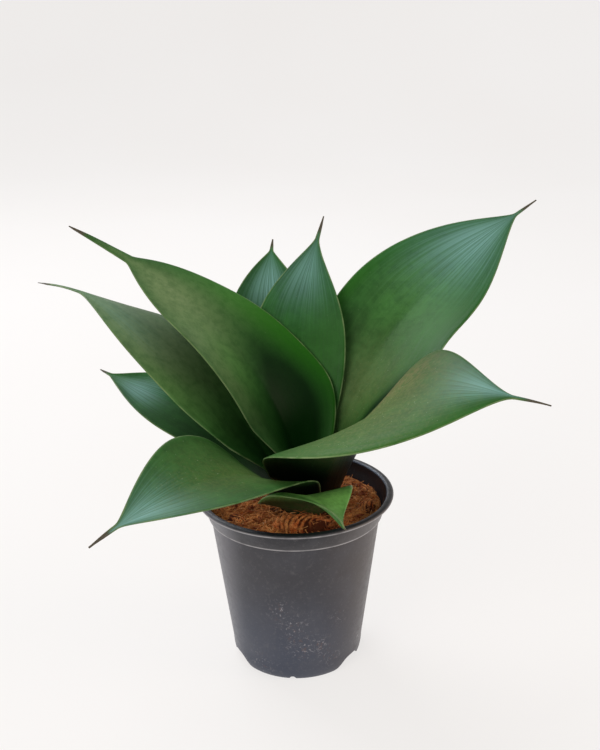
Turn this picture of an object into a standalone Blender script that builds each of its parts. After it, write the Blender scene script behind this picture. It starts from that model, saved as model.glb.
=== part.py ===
"""A potted snake plant: a bird's-nest rosette of nine broad leaves on a short rootstock, in a
growing medium of coir and husk, in a round plastic nursery pot.

The origin is the middle of the pot's underside, where it rests. +Z is up, and -Y is the front.
The lengths below are in millimetres and the angles in degrees. Each mesh is built in
millimetres and scaled to metres when its object is made."""

import math

import bmesh
import bpy
from mathutils import Vector

# ---- the pot ---------------------------------------------------------------------------------
RIM_RADIUS = 52.2          # outside of the rolled rim
POT_HEIGHT = 95.5          # table to the top of the rim
RIM_WIDTH = 3.8            # how far the rolled rim stands in from its outside
RIM_DEPTH = 2.6            # how far the roll turns down
COLLAR_INSET = 2.6         # how far the collar's top stands in from the outside of the rim
COLLAR_DRAFT = 3.0         # how much the collar narrows down to the step below it
COLLAR_DEPTH = 11.5        # rim top to the step below the collar
STEP = 1.5                 # how far the wall steps in below the collar
FOOT_RADIUS = 35.4         # outside of the wall at the foot
FOOT_BEVEL = 3.1           # how far the rounded foot turns in to the underside
WALL = 1.2                 # wall and floor thickness
POT_SIDES = 60             # facets around the pot
NOTCH_HEIGHT = 6.5         # three wide drainage arches cut the foot
NOTCH_WIDTH = 24.0
NOTCH_REACH = 7.0          # how far an arch cuts in under the floor
NOTCH_ANGLES = (-155.0, -35.0, 85.0)
SLOT_HEIGHT = 2.2          # three small slots lie between the arches
SLOT_WIDTH = 4.5
SLOT_ANGLES = (-95.0, 25.0, 145.0)

# ---- the growing medium ----------------------------------------------------------------------
GAP = 0.3                  # clearance between pieces that touch
MEDIUM_DROP = 8.9          # rim top down to the medium's surface
MEDIUM_SWELL = 0.8         # height of the surface's gentle swells
DISH_DROP = 1.5            # the surface dips this much around the rootstock
DISH_REACH = 9.0           # width of the slope from the dip to the surface

# ---- the rootstock ---------------------------------------------------------------------------
CROWN_X = 8.0              # the rosette's axis, a little off the pot's
CROWN_Y = 9.0
ROOT_MARGIN = 1.2          # how far the rootstock stands out past the leaves' feet
ROOT_DEPTH = 12.0
ROOT_TAPER = 6.0           # how much narrower its underside is
ROOT_EDGE = 1.0            # the rounding of its upper edge
ROOT_SIDES = 36
SEAT_SINK = 0.9            # how far its flat top, where the leaves stand, lies under the medium's level

# ---- the leaves ------------------------------------------------------------------------------
LEAF_THICKNESS = 2.1       # at the midrib
LEAF_SPACING = 0.5         # room between one leaf's foot and the next leaf out
HEART_RADIUS = 3.6         # radius of the innermost foot's arc
MARGIN_THICKNESS = 0.6
SPINE_TIP_WIDTH = 0.5
LOBE_PLACE = 0.31          # where a lobe is, as a share of the midrib
LOBE_REACH = 0.12          # and how far it spreads along it
LEAF_ROWS = 24             # facets along a leaf
LEAF_COLUMNS = 4           # facets from the midrib to a margin

# Each leaf is a blade along a curved midrib, from the foot on the rootstock to a horny spine.
#   rank       how many leaves out from the rosette's heart its foot stands
#   length     foot to the end of the blade;  spine  the tapered tip beyond it
#   width      widest flat width;  foot_width  width at the foot;  neck  width where the spine starts
#   widest     where the blade is widest, as a share of the length
#   full       how full the outline stays past the widest place;  sharp  how hollow it is at the tip
#   heading    compass angle at the foot and at the tip (0 right, 90 back, 180 left)
#   rise       angle above the horizontal at the foot, the middle and the tip
#   roll       turn about the midrib at the foot, the middle and the tip
#   cup        how far the margins fold up, past the foot and at the tip
#   flare_left, flare_right   how far a margin turns back down, at the foot, the middle and the tip
#   lobe       extra width of the right half low on the leaf, as a share of that half's width
LEAVES = {
    "leaf_inner_left": dict(
        rank=0, length=166, spine=36, width=72, foot_width=11, neck=7.2,
        widest=0.36, full=3.0, sharp=0.90, heading=(151, 172), rise=(85, 44, 26),
        roll=(-36, -7, -29), cup=(37, -13),
        flare_left=(8, 2, 6), flare_right=(-11, 4, 3)),
    "leaf_upright": dict(
        rank=1, length=147, spine=12, width=52, foot_width=13, neck=1.7,
        widest=0.54, sharp=1.33, heading=(106, 52), rise=(78, 56, 62),
        roll=(7, 5, -1), cup=(19, 17)),
    "leaf_outer_left": dict(
        rank=2, length=166, spine=25, width=64, foot_width=25, neck=5.5,
        widest=0.52, full=2.5, sharp=1.21, heading=(172, 157), rise=(60, 43, -3),
        roll=(-19, -9, 24), cup=(11, -17),
        flare_left=(0, 9, 0), flare_right=(-5, 10, 4)),
    "leaf_tall_right": dict(
        rank=3, length=199, spine=14, width=78, foot_width=29, neck=1.3,
        widest=0.49, sharp=1.23, heading=(45, 19), rise=(77, 40, 29),
        roll=(-24, 16, 43), cup=(39, 3), lobe=0.45,
        flare_right=(-7, 1, 4)),
    "leaf_back": dict(
        rank=4, length=144, spine=7, width=52, foot_width=26, neck=1.3,
        widest=0.56, sharp=1.08, heading=(115, 80), rise=(68, 51, 48),
        roll=(0, 0, 0), cup=(26, 18)),
    "leaf_flared_right": dict(
        rank=4, length=180, spine=14, width=86, foot_width=43, neck=1.2,
        widest=0.54, sharp=1.58, heading=(-78, -22), rise=(59, 38, -11),
        roll=(-5, 17, 35), cup=(47, -18),
        flare_left=(-4, 11, 0), flare_right=(77, 24, 1)),
    "leaf_low_left": dict(
        rank=5, length=124, spine=6, width=47, foot_width=16, neck=1.6,
        widest=0.50, sharp=1.18, heading=(161, 149), rise=(60, 22, 15),
        roll=(-4, -20, -8), cup=(23, 14)),
    "leaf_front_left": dict(
        rank=6, length=148, spine=14, width=59, foot_width=28, neck=1.4,
        widest=0.48, sharp=1.25, heading=(245, 219), rise=(58, 16, -22),
        roll=(9, -14, -30), cup=(23, 21)),
    "leaf_small_front": dict(
        rank=7.23, length=72, spine=1, width=48, foot_width=15, neck=1.2,
        widest=0.37, sharp=1.12, heading=(-98, -41), rise=(62, 22, -40),
        roll=(-1, -5, -55), cup=(4, 31),
        flare_left=(3, 7, -1), flare_right=(-10, 50, -1)),
}

# ---- the loose husk --------------------------------------------------------------------------
# Pieces of husk lie on the medium: bearing of the middle and how far out it is, as a share of the
# way from the rootstock to the medium's edge, then length, width, height and turn.
HUSK = {
    "husk_front": (-83.2, 0.30, 28.0, 13.0, 6.5, -10.0),
    "husk_front_right": (-47.2, 0.65, 14.0, 8.0, 4.0, 50.0),
    "husk_right": (-7.7, 0.58, 18.0, 11.0, 6.0, 75.0),
    "husk_right_rear": (18.5, 0.73, 14.0, 8.0, 5.0, 105.0),
    "husk_left": (-150.5, 0.65, 18.0, 9.0, 4.5, 125.0),
    "husk_rear_left": (138.4, 0.65, 17.0, 9.0, 4.5, 50.0),
}
HUSK_RINGS = 4
HUSK_SIDES = 16
HUSK_EDGE = 0.5            # thickness of a husk's thin edge

# ---- worked out from the above ---------------------------------------------------------------
COLLAR_FOOT_Z = POT_HEIGHT - COLLAR_DEPTH
RIM_UNDERSIDE_Z = POT_HEIGHT - RIM_DEPTH
INNER_RIM_RADIUS = RIM_RADIUS - RIM_WIDTH
COLLAR_TOP_RADIUS = RIM_RADIUS - COLLAR_INSET
COLLAR_RADIUS = COLLAR_TOP_RADIUS - COLLAR_DRAFT
WALL_TOP_RADIUS = COLLAR_RADIUS - STEP
MEDIUM_Z = POT_HEIGHT - MEDIUM_DROP
MEDIUM_SHARE = (MEDIUM_Z - COLLAR_FOOT_Z) / (RIM_UNDERSIDE_Z - COLLAR_FOOT_Z)
MEDIUM_RADIUS = COLLAR_RADIUS + COLLAR_DRAFT * MEDIUM_SHARE - WALL - 2 * GAP
SEAT_Z = MEDIUM_Z - SEAT_SINK


def material(name, colour, roughness):
    """A plain Principled material, colour in linear RGB."""
    new = bpy.data.materials.new(name)
    new.use_nodes = True
    shader = new.node_tree.nodes["Principled BSDF"]
    shader.inputs["Base Color"].default_value = (*colour, 1)
    shader.inputs["Roughness"].default_value = roughness
    shader.inputs["Metallic"].default_value = 0
    new.diffuse_color = (*colour, 1)
    return new


def add_object(name, bm, colour, roughness):
    """Put a bmesh in millimetres into the scene as a smooth-shaded object in metres."""
    bmesh.ops.scale(bm, vec=(0.001, 0.001, 0.001), verts=bm.verts)
    mesh = bpy.data.meshes.new(name)
    bm.to_mesh(mesh)
    bm.free()
    mesh.shade_smooth()
    mesh.set_sharp_from_angle(angle=math.radians(35))
    mesh.materials.append(material(name, colour, roughness))
    new = bpy.data.objects.new(name, mesh)
    bpy.context.collection.objects.link(new)
    return new


def ring_grid(bm, rings):
    """Skin a list of closed rings of points. A ring of one point is a pole."""
    rows = [[bm.verts.new(point) for point in ring] for ring in rings]
    for low, high in zip(rows, rows[1:]):
        count = max(len(low), len(high))
        for i in range(count):
            j = (i + 1) % count
            corners = [low[i % len(low)], low[j % len(low)], high[j % len(high)], high[i % len(high)]]
            bm.faces.new(dict.fromkeys(corners))
    return rows


def turned_rings(profile, sides, x=0.0, y=0.0):
    """Rings of points of a profile of (radius, height) turned about the line at x, y."""
    rings = []
    for radius, height in profile:
        turns = range(sides) if radius > 0 else range(1)
        angles = [2 * math.pi * i / sides for i in turns]
        rings.append([(x + radius * math.cos(a), y + radius * math.sin(a), height) for a in angles])
    return rings


def turned(profile, sides, x=0.0, y=0.0):
    bm = bmesh.new()
    ring_grid(bm, turned_rings(profile, sides, x, y))
    return bm


def cut(target, cutter):
    """Take the cutter out of the target with a live Boolean, and hide the cutter."""
    modifier = target.modifiers.new(cutter.name, "BOOLEAN")
    modifier.operation = "DIFFERENCE"
    modifier.solver = "EXACT"
    modifier.object = cutter
    cutter.hide_render = True
    cutter.display_type = "WIRE"


# ---- pot -------------------------------------------------------------------------------------
def foot_curve(inset):
    """The rounded foot, from the underside to the wall, set in from the outside by inset."""
    height = 3 * FOOT_BEVEL
    turns = [math.radians(90 * i / 4) for i in range(5)]
    return [
        (FOOT_RADIUS - FOOT_BEVEL * (1 - math.sin(a)) - inset, inset + (height - inset) * (1 - math.cos(a)))
        for a in turns
    ]


def rim_curve():
    """The rolled rim, from its underside around its top to the inside."""
    points = []
    for i in range(9):
        a = math.radians(-70 + 250 * i / 8)
        half_width = RIM_WIDTH / 2
        half_depth = RIM_DEPTH / 2
        points.append((
            RIM_RADIUS - half_width + half_width * math.cos(a),
            POT_HEIGHT - half_depth + half_depth * math.sin(a),
        ))
    return points


def inner_wall(inset):
    """The inside of the pot from under the rim down to the floor's edge."""
    return [
        (COLLAR_TOP_RADIUS - inset, RIM_UNDERSIDE_Z),
        (COLLAR_RADIUS - inset, COLLAR_FOOT_Z),
        (WALL_TOP_RADIUS - inset, COLLAR_FOOT_Z - STEP),
        *reversed(foot_curve(inset)),
    ]


def make_pot():
    outside = [
        (0, 0),
        *foot_curve(0),
        (WALL_TOP_RADIUS, COLLAR_FOOT_Z - STEP / 2),
        (COLLAR_RADIUS, COLLAR_FOOT_Z),
        (COLLAR_TOP_RADIUS, RIM_UNDERSIDE_Z),
    ]
    profile = [*outside, *rim_curve(), *inner_wall(WALL), (0, WALL)]
    pot = add_object("nursery_pot", turned(profile, POT_SIDES), (0.030, 0.034, 0.042), 0.42)
    for angle in NOTCH_ANGLES:
        cut(pot, make_arch(angle, NOTCH_WIDTH, NOTCH_HEIGHT, NOTCH_REACH))
    for angle in SLOT_ANGLES:
        cut(pot, make_arch(angle, SLOT_WIDTH, SLOT_HEIGHT, NOTCH_REACH))


def make_arch(angle, width, height, reach):
    """A cutter with a bell-shaped front, laid radially at the pot's foot."""
    outline = [(-width / 2, -2.0)]
    steps = 10
    for i in range(steps + 1):
        across = -1 + 2 * i / steps
        bell = 0.5 * (1 + math.cos(math.pi * abs(across) ** 1.7))
        outline.append((width / 2 * across, height * bell))
    outline.append((width / 2, -2.0))
    bm = bmesh.new()
    ends = []
    for r in (FOOT_RADIUS + FOOT_BEVEL, FOOT_RADIUS - FOOT_BEVEL - reach):
        ends.append([bm.verts.new((r, y, z)) for y, z in outline])
    count = len(outline)
    for i in range(count):
        j = (i + 1) % count
        bm.faces.new((ends[0][i], ends[1][i], ends[1][j], ends[0][j]))
    bm.faces.new(ends[0])
    bm.faces.new(reversed(ends[1]))
    bmesh.ops.recalc_face_normals(bm, faces=bm.faces)
    arch = add_object(f"arch_{angle:.0f}", bm, (1, 1, 1), 1)
    arch.rotation_euler.z = math.radians(angle)
    return arch


# ---- growing medium --------------------------------------------------------------------------
def medium_height(x, y):
    """Height of the medium's surface: gentle swells, and a dish around the rootstock."""
    swell = math.sin(x / 7.5 + 0.6) * math.cos(y / 8.5 - 0.4) + 0.5 * math.sin((x + y) / 6.0)
    root_x, root_y, root_radius = ROOT
    reach = (math.hypot(x - root_x, y - root_y) - root_radius) / DISH_REACH
    rise = min(max(reach, 0.0), 1.0)
    blend = rise * rise * (3 - 2 * rise)
    return MEDIUM_Z - DISH_DROP * (1 - blend) + MEDIUM_SWELL * swell * blend


def make_medium():
    wall = [point for point in inner_wall(WALL + GAP) if point[1] < MEDIUM_Z - 1]
    rings = turned_rings([(0, WALL + GAP), *reversed(wall)], POT_SIDES)
    steps = 12
    for i in range(steps):
        ring = turned_rings([(MEDIUM_RADIUS * (1 - i / steps), 0)], POT_SIDES)[0]
        rings.append([(x, y, medium_height(x, y)) for x, y, _ in ring])
    rings.append([(0, 0, medium_height(0, 0))])
    bm = bmesh.new()
    ring_grid(bm, rings)
    medium = add_object("coir_medium", bm, (0.23, 0.085, 0.032), 0.95)
    cut(medium, add_object("rootstock_socket", turned_root(GAP), (1, 1, 1), 1))


# ---- rootstock -------------------------------------------------------------------------------
def root_circle():
    """The middle and radius of the round rootstock that carries every leaf's foot."""
    feet = [point for leaf in LEAVES.values() for row in leaf_faces(leaf) for point in row[0]]
    xs = [point.x for point in feet]
    ys = [point.y for point in feet]
    middle = Vector(((min(xs) + max(xs)) / 2, (min(ys) + max(ys)) / 2))
    radius = max((point.xy - middle).length for point in feet) + ROOT_MARGIN
    return middle.x, middle.y, radius


def turned_root(grow):
    """The rootstock's solid, or, grown, the socket that it sits in."""
    x, y, radius = ROOT
    base_z = SEAT_Z - ROOT_DEPTH - grow
    profile = [
        (0, base_z),
        (radius - ROOT_TAPER + grow, base_z),
        (radius + grow, SEAT_Z - ROOT_DEPTH / 2),
        (radius + grow, SEAT_Z - ROOT_EDGE),
    ]
    if grow:
        profile += [(radius + grow, POT_HEIGHT), (0, POT_HEIGHT)]
    else:
        profile += [
            (radius - 0.3 * ROOT_EDGE, SEAT_Z - 0.3 * ROOT_EDGE),
            (radius - ROOT_EDGE, SEAT_Z),
            (0, SEAT_Z),
        ]
    return turned(profile, ROOT_SIDES, x, y)


def make_rootstock():
    add_object("rootstock", turned_root(0), (0.20, 0.17, 0.09), 0.8)


# ---- leaves ----------------------------------------------------------------------------------
def through(values, t):
    """The parabola through three values, at t = 0, 1/2 and 1."""
    start, middle, end = values
    return start * (1 - t) * (1 - 2 * t) + middle * 4 * t * (1 - t) + end * t * (2 * t - 1)


def foot_radius(leaf):
    """Radius of the arc that a leaf's foot makes about the rosette's axis."""
    return HEART_RADIUS + leaf["rank"] * (LEAF_THICKNESS + LEAF_SPACING)


def half_width(leaf, along):
    """Half the flat width, at a share of the blade's length. Past 1 is the spine."""
    tip = 1 + leaf["spine"] / leaf["length"]
    past = min(max((along - leaf["widest"]) / (1 - leaf["widest"]), 0.0), 1.0)
    if along < leaf["widest"]:
        foot = leaf["foot_width"] / leaf["width"]
        share = foot + (1 - foot) * math.sin(math.pi / 2 * along / leaf["widest"]) ** 1.3
    else:
        share = (1 - past ** leaf.get("full", 2.2)) ** leaf["sharp"]
    left = min(max((tip - along) / (tip - 1), 0.0), 1.0)
    neck = leaf["neck"] / 2 * left ** 0.8 * past ** 2
    return math.hypot(leaf["width"] / 2 * share, neck, SPINE_TIP_WIDTH / 2)


def midrib(leaf, rows):
    """The midrib's points, and at each the outward, leftward and upward-face directions."""
    reach = leaf["length"] + leaf["spine"]
    frames = []
    for i in range(rows + 1):
        t = i / rows
        heading = math.radians(leaf["heading"][0] + (leaf["heading"][1] - leaf["heading"][0]) * t ** 1.3)
        rise = math.radians(through(leaf["rise"], t))
        roll = math.radians(through(leaf["roll"], t) * min(1, t / 0.25))
        along = Vector((
            math.cos(rise) * math.cos(heading),
            math.cos(rise) * math.sin(heading),
            math.sin(rise),
        ))
        left = Vector((-math.sin(heading), math.cos(heading), 0))
        face = along.cross(left)
        frames.append((along, left * math.cos(roll) + face * math.sin(roll),
                       face * math.cos(roll) - left * math.sin(roll)))
    heading = math.radians(leaf["heading"][0])
    point = Vector((
        CROWN_X + foot_radius(leaf) * math.cos(heading),
        CROWN_Y + foot_radius(leaf) * math.sin(heading),
        SEAT_Z + GAP,
    ))
    points = [point]
    for before, after in zip(frames, frames[1:]):
        point = point + (before[0] + after[0]) / 2 * reach / rows
        points.append(point)
    return points, frames


def across(leaf, t, side, columns):
    """One half of the cross-section, midrib to margin, as (sideways, upward) distances."""
    width = half_width(leaf, t * (1 + leaf["spine"] / leaf["length"]))
    if side == "right":
        width *= 1 + leaf.get("lobe", 0) * math.exp(-((t - LOBE_PLACE) / LOBE_REACH) ** 2)
    clasp = min(math.degrees(half_width(leaf, 0) / foot_radius(leaf)), 100)
    foot_share = math.exp(-t / 0.14)
    blade_cup = leaf["cup"][0] + (leaf["cup"][1] - leaf["cup"][0]) * t
    cup = math.radians(clasp * foot_share + blade_cup * (1 - foot_share))
    crease = 0.35 * (1 - foot_share)
    flare = through(leaf.get(f"flare_{side}", (0, 0, 0)), t) * min(1, t / 0.12)
    sideways = upward = 0.0
    points = [(0.0, 0.0)]
    fine = 3
    for i in range(columns * fine):
        share = (i + 0.5) / (columns * fine)
        slope = cup * (crease + (1 - crease) * share) - math.radians(flare) * share ** 3
        sideways += width / (columns * fine) * math.cos(slope)
        upward += width / (columns * fine) * math.sin(slope)
        if i % fine == fine - 1:
            points.append((sideways, upward))
    return points


def leaf_surface(leaf, rows, columns):
    """The leaf's upper face: a row of points for each step along the midrib."""
    points, frames = midrib(leaf, rows)
    grid = []
    for i, (point, (_, left, face)) in enumerate(zip(points, frames)):
        halves = {side: across(leaf, i / rows, side, columns) for side in ("left", "right")}
        row = [point - left * s + face * u for s, u in reversed(halves["right"])]
        row += [point + left * s + face * u for s, u in halves["left"][1:]]
        grid.append(row)
    return grid


def face_normals(grid):
    normals = []
    for i, row in enumerate(grid):
        after = grid[min(i + 1, len(grid) - 1)]
        before = grid[max(i - 1, 0)]
        line = []
        for j in range(len(row)):
            sideways = row[min(j + 1, len(row) - 1)] - row[max(j - 1, 0)]
            line.append((after[j] - before[j]).cross(sideways).normalized())
        normals.append(line)
    return normals


def leaf_faces(leaf):
    """The upper and under faces as grids of points, both cut level at the foot."""
    grid = leaf_surface(leaf, LEAF_ROWS, LEAF_COLUMNS)
    under = []
    for i, (row, normals) in enumerate(zip(grid, face_normals(grid))):
        t = i / LEAF_ROWS
        width = half_width(leaf, t * (1 + leaf["spine"] / leaf["length"]))
        rib = min(LEAF_THICKNESS * (1 - 0.5 * t), 1.2 * width)
        margin = min(MARGIN_THICKNESS, rib)
        line = []
        for j, (point, normal) in enumerate(zip(row, normals)):
            share = abs(j - LEAF_COLUMNS) / LEAF_COLUMNS
            line.append(point - normal * (margin + (rib - margin) * (1 - share ** 2)))
        under.append(line)
    along = (grid[1][LEAF_COLUMNS] - grid[0][LEAF_COLUMNS]).normalized()
    for face in (grid, under):
        face[0] = [p + along * ((SEAT_Z + GAP - p.z) / along.z) for p in face[0]]
    return grid, under


def make_leaf(name, leaf):
    grid, under = leaf_faces(leaf)
    bm = bmesh.new()
    rings = [[*upper, *reversed(lower)] for upper, lower in zip(grid, under)]
    rows = ring_grid(bm, rings)
    for row in (rows[0], rows[-1]):
        half = len(row) // 2
        for j in range(half - 1):
            bm.faces.new((row[j], row[j + 1], row[-2 - j], row[-1 - j]))
    bmesh.ops.recalc_face_normals(bm, faces=bm.faces)
    add_object(name, bm, (0.042, 0.13, 0.048), 0.45)


# ---- loose husk ------------------------------------------------------------------------------
def husk_middle(bearing, share):
    """Where a husk's middle lies, at a share of the way from the rootstock to the medium's edge."""
    outward = Vector((math.cos(math.radians(bearing)), math.sin(math.radians(bearing))))
    middle = Vector(ROOT[:2])
    along = middle.dot(outward)
    near = along + math.sqrt(ROOT[2] ** 2 - middle.length_squared + along ** 2)
    return outward * (near + share * (MEDIUM_RADIUS - near))


def make_husk(name, bearing, share, length, width, height, turn):
    """A low lump of husk whose underside follows the medium's surface."""
    turn = math.radians(turn)
    x, y = husk_middle(bearing, share)

    def ring(share, top):
        points = []
        for i in range(HUSK_SIDES):
            a = 2 * math.pi * i / HUSK_SIDES
            ragged = 1 + 0.10 * math.sin(3 * a + x) + 0.06 * math.sin(5 * a + y)
            u = length / 2 * share * ragged * math.cos(a)
            v = width / 2 * share * ragged * math.sin(a)
            px = x + u * math.cos(turn) - v * math.sin(turn)
            py = y + u * math.sin(turn) + v * math.cos(turn)
            lump = (height - HUSK_EDGE) * math.sqrt(1 - share ** 2) * (1 + 0.12 * math.sin(2 * a + y))
            base = medium_height(px, py) + GAP
            points.append((px, py, base + (HUSK_EDGE + lump if top else 0)))
        return points

    shares = [i / HUSK_RINGS for i in range(HUSK_RINGS + 1)]
    base = medium_height(x, y) + GAP
    rings = [[(x, y, base)], *(ring(s, False) for s in shares[1:])]
    rings += [*(ring(s, True) for s in reversed(shares[1:])), [(x, y, base + height)]]
    bm = bmesh.new()
    ring_grid(bm, rings)
    add_object(name, bm, (0.30, 0.12, 0.05), 0.9)


def build():
    for old in list(bpy.data.objects):
        bpy.data.objects.remove(old)
    make_pot()
    make_medium()
    make_rootstock()
    for name, leaf in LEAVES.items():
        make_leaf(name, leaf)
    for name, sizes in HUSK.items():
        make_husk(name, *sizes)


ROOT = root_circle()
build()
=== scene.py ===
"""The looks of a potted snake plant: a bird's-nest rosette of nine broad leaves on a short
rootstock, in coir and coconut husk, in a round nursery pot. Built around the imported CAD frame.

Sizes are in millimetres and angles in degrees. Every mesh is made in millimetres and brought to
metres when its object is made. +Z is up and -Y is the front."""

import math

import bmesh
import bpy
from mathutils import Matrix, Vector, noise


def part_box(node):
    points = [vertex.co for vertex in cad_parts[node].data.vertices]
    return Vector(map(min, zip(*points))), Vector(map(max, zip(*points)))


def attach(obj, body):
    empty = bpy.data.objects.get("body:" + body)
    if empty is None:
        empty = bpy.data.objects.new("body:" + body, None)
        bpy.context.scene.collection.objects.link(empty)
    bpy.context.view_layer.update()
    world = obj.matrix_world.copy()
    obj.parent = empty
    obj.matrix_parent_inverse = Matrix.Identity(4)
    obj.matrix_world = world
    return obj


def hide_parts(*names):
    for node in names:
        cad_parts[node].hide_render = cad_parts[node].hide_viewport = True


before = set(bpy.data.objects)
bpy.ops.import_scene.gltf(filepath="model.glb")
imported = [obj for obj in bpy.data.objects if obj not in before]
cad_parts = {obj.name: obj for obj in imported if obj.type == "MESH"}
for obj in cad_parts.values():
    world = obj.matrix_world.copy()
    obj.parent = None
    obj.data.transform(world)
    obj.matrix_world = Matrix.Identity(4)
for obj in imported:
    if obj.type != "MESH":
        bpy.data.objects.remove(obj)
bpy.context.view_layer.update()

# ---- nursery pot -----------------------------------------------------------------------------
# A thin-walled pot, injection moulded in grey polypropylene: a rolled rim, a collar that ends in
# a step, and a tapered wall with drainage arches at the foot. It has been handled and is dusty.
POT_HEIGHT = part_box("nursery_pot")[1].z * 1000
RIM_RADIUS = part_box("nursery_pot")[1].x * 1000
RIM_WIDTH = 3.8            # how far the rolled rim stands in from its outside
RIM_DEPTH = 2.6            # how far the roll turns down
COLLAR_INSET = 2.6         # how far the collar's top stands in from the outside of the rim
COLLAR_DRAFT = 3.0         # how much the collar narrows down to the step below it
COLLAR_DEPTH = 11.5        # rim top to the step below the collar
STEP = 1.5                 # how far the wall steps in below the collar
FOOT_RADIUS = 35.4
FOOT_BEVEL = 3.1
WALL = 1.2
POT_SIDES = 180
ROLL_STEPS = 24
ARCH_STEPS = 24
ARCH_REACH = 7.0           # how far an arch cuts in under the floor
AXIS = 0.05                # radius of the tiny rings that are merged into poles
# Drainage arches and slots: bearing, width, height.
ARCHES = [(-155, 24, 6.5), (-35, 24, 6.5), (85, 24, 6.5),
          (-95, 4.5, 2.2), (25, 4.5, 2.2), (145, 4.5, 2.2)]

UNDER_RIM = POT_HEIGHT - RIM_DEPTH
COLLAR_FOOT = POT_HEIGHT - COLLAR_DEPTH
COLLAR_TOP_RADIUS = RIM_RADIUS - COLLAR_INSET
COLLAR_RADIUS = COLLAR_TOP_RADIUS - COLLAR_DRAFT
WALL_TOP_RADIUS = COLLAR_RADIUS - STEP


def linear(hex_colour):
    """An sRGB hex colour as linear RGBA."""
    channels = [int(hex_colour[i:i + 2], 16) / 255 for i in (1, 3, 5)]
    return (*[c / 12.92 if c <= 0.04045 else ((c + 0.055) / 1.055) ** 2.4 for c in channels], 1)


def add_node(tree, kind, sockets=None, **settings):
    """Add a node with its settings, and fill its sockets with values or other nodes' outputs."""
    new = tree.nodes.new(kind)
    for name, value in settings.items():
        setattr(new, name, value)
    for name, value in (sockets or {}).items():
        if isinstance(value, bpy.types.NodeSocket):
            tree.links.new(value, new.inputs[name])
        else:
            new.inputs[name].default_value = value
    return new


def new_material(name, **sockets):
    """A material with one Principled shader, its constants set straight on its sockets."""
    made = bpy.data.materials.new(name)
    made.use_nodes = True
    shader = made.node_tree.nodes["Principled BSDF"]
    for socket, value in sockets.items():
        shader.inputs[socket.replace("_", " ")].default_value = value
    return made, made.node_tree, shader


def showing(tree, pattern, low, high, least=0.0, most=1.0, within=None):
    """How much of a finish shows: a smooth step of a pattern, kept within a mark on the mesh.

    The mark is the name of an attribute, or another output."""
    shows = add_node(tree, "ShaderNodeMapRange", {
        "Value": pattern, "From Min": low, "From Max": high, "To Min": least, "To Max": most,
    }, interpolation_type="SMOOTHSTEP").outputs[0]
    if within is None:
        return shows
    if isinstance(within, str):
        within = add_node(tree, "ShaderNodeAttribute", attribute_name=within).outputs["Fac"]
    return add_node(tree, "ShaderNodeMath", {0: within, 1: shows}, operation="MULTIPLY").outputs[0]


def coated(tree, colour, coats):
    """A colour under coats of other finishes: how much of each shows, and its colour."""
    for shows, coat in coats:
        coat = linear(coat) if isinstance(coat, str) else coat
        colour = add_node(tree, "ShaderNodeMix", {0: shows, 6: colour, 7: coat},
                          data_type="RGBA").outputs[2]
    return colour


def mottle(tree, place, size, detail=3.0, roughness=0.55, stretch=(1, 1, 1)):
    """Noise from 0 to 1 whose blotches are about size millimetres across."""
    mapped = add_node(tree, "ShaderNodeMapping", {
        "Vector": place, "Scale": [1000 * s for s in stretch]})
    return add_node(tree, "ShaderNodeTexNoise", {
        "Vector": mapped.outputs[0], "Scale": 1 / size, "Detail": detail, "Roughness": roughness,
    }).outputs[0]


def finish_mesh(name, mesh, made_material, slot, *nodes):
    """Bring a mesh in millimetres into the scene in metres, riding on the root body."""
    mesh.transform(Matrix.Scale(0.001, 4))
    mesh.shade_smooth()
    mesh.materials.clear()
    mesh.materials.append(made_material)
    made = bpy.data.objects.new(name, mesh)
    bpy.context.scene.collection.objects.link(made)
    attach(made, "root")
    if nodes:
        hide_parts(*nodes)
    return made


def grid_mesh(name, rows, wrap=True, **floats):
    """A mesh of a grid of points; wrap closes each row. Each float list is a point attribute."""
    width = len(rows[0])
    points = [tuple(p) for row in rows for p in row]
    faces = []
    for i in range(len(rows) - 1):
        for j in range(width if wrap else width - 1):
            k = (j + 1) % width
            faces.append((i * width + j, i * width + k, (i + 1) * width + k, (i + 1) * width + j))
    mesh = bpy.data.meshes.new(name)
    mesh.from_pydata(points, [], faces)
    for label, values in floats.items():
        layer = mesh.attributes.new(label, "FLOAT", "POINT")
        layer.data.foreach_set("value", values)
    return mesh


def foot_curve(inset, steps=10):
    """The rounded foot, from the underside to the wall, set in by inset."""
    height = 3 * FOOT_BEVEL
    turns = [math.radians(90 * i / steps) for i in range(steps + 1)]
    return [(FOOT_RADIUS - FOOT_BEVEL * (1 - math.sin(a)) - inset,
             inset + (height - inset) * (1 - math.cos(a))) for a in turns]


def rounded(points, radius, steps=4):
    """A profile with each inner corner turned into a small curve."""
    curve = [points[0]]
    for before, corner, after in zip(points, points[1:], points[2:]):
        before, corner, after = Vector(before), Vector(corner), Vector(after)
        start = corner + (before - corner).normalized() * min(radius, (before - corner).length / 2)
        end = corner + (after - corner).normalized() * min(radius, (after - corner).length / 2)
        for i in range(steps + 1):
            t = i / steps
            curve.append(tuple(start * (1 - t) ** 2 + corner * 2 * t * (1 - t) + end * t ** 2))
    return [*curve, points[-1]]


def divided(points, longest):
    """A profile with its long runs cut into shorter ones."""
    line = []
    for before, after in zip(points, points[1:]):
        pieces = max(1, math.ceil(math.dist(before, after) / longest))
        line += [tuple(Vector(before).lerp(Vector(after), i / pieces)) for i in range(pieces)]
    return [*line, points[-1]]


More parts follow.
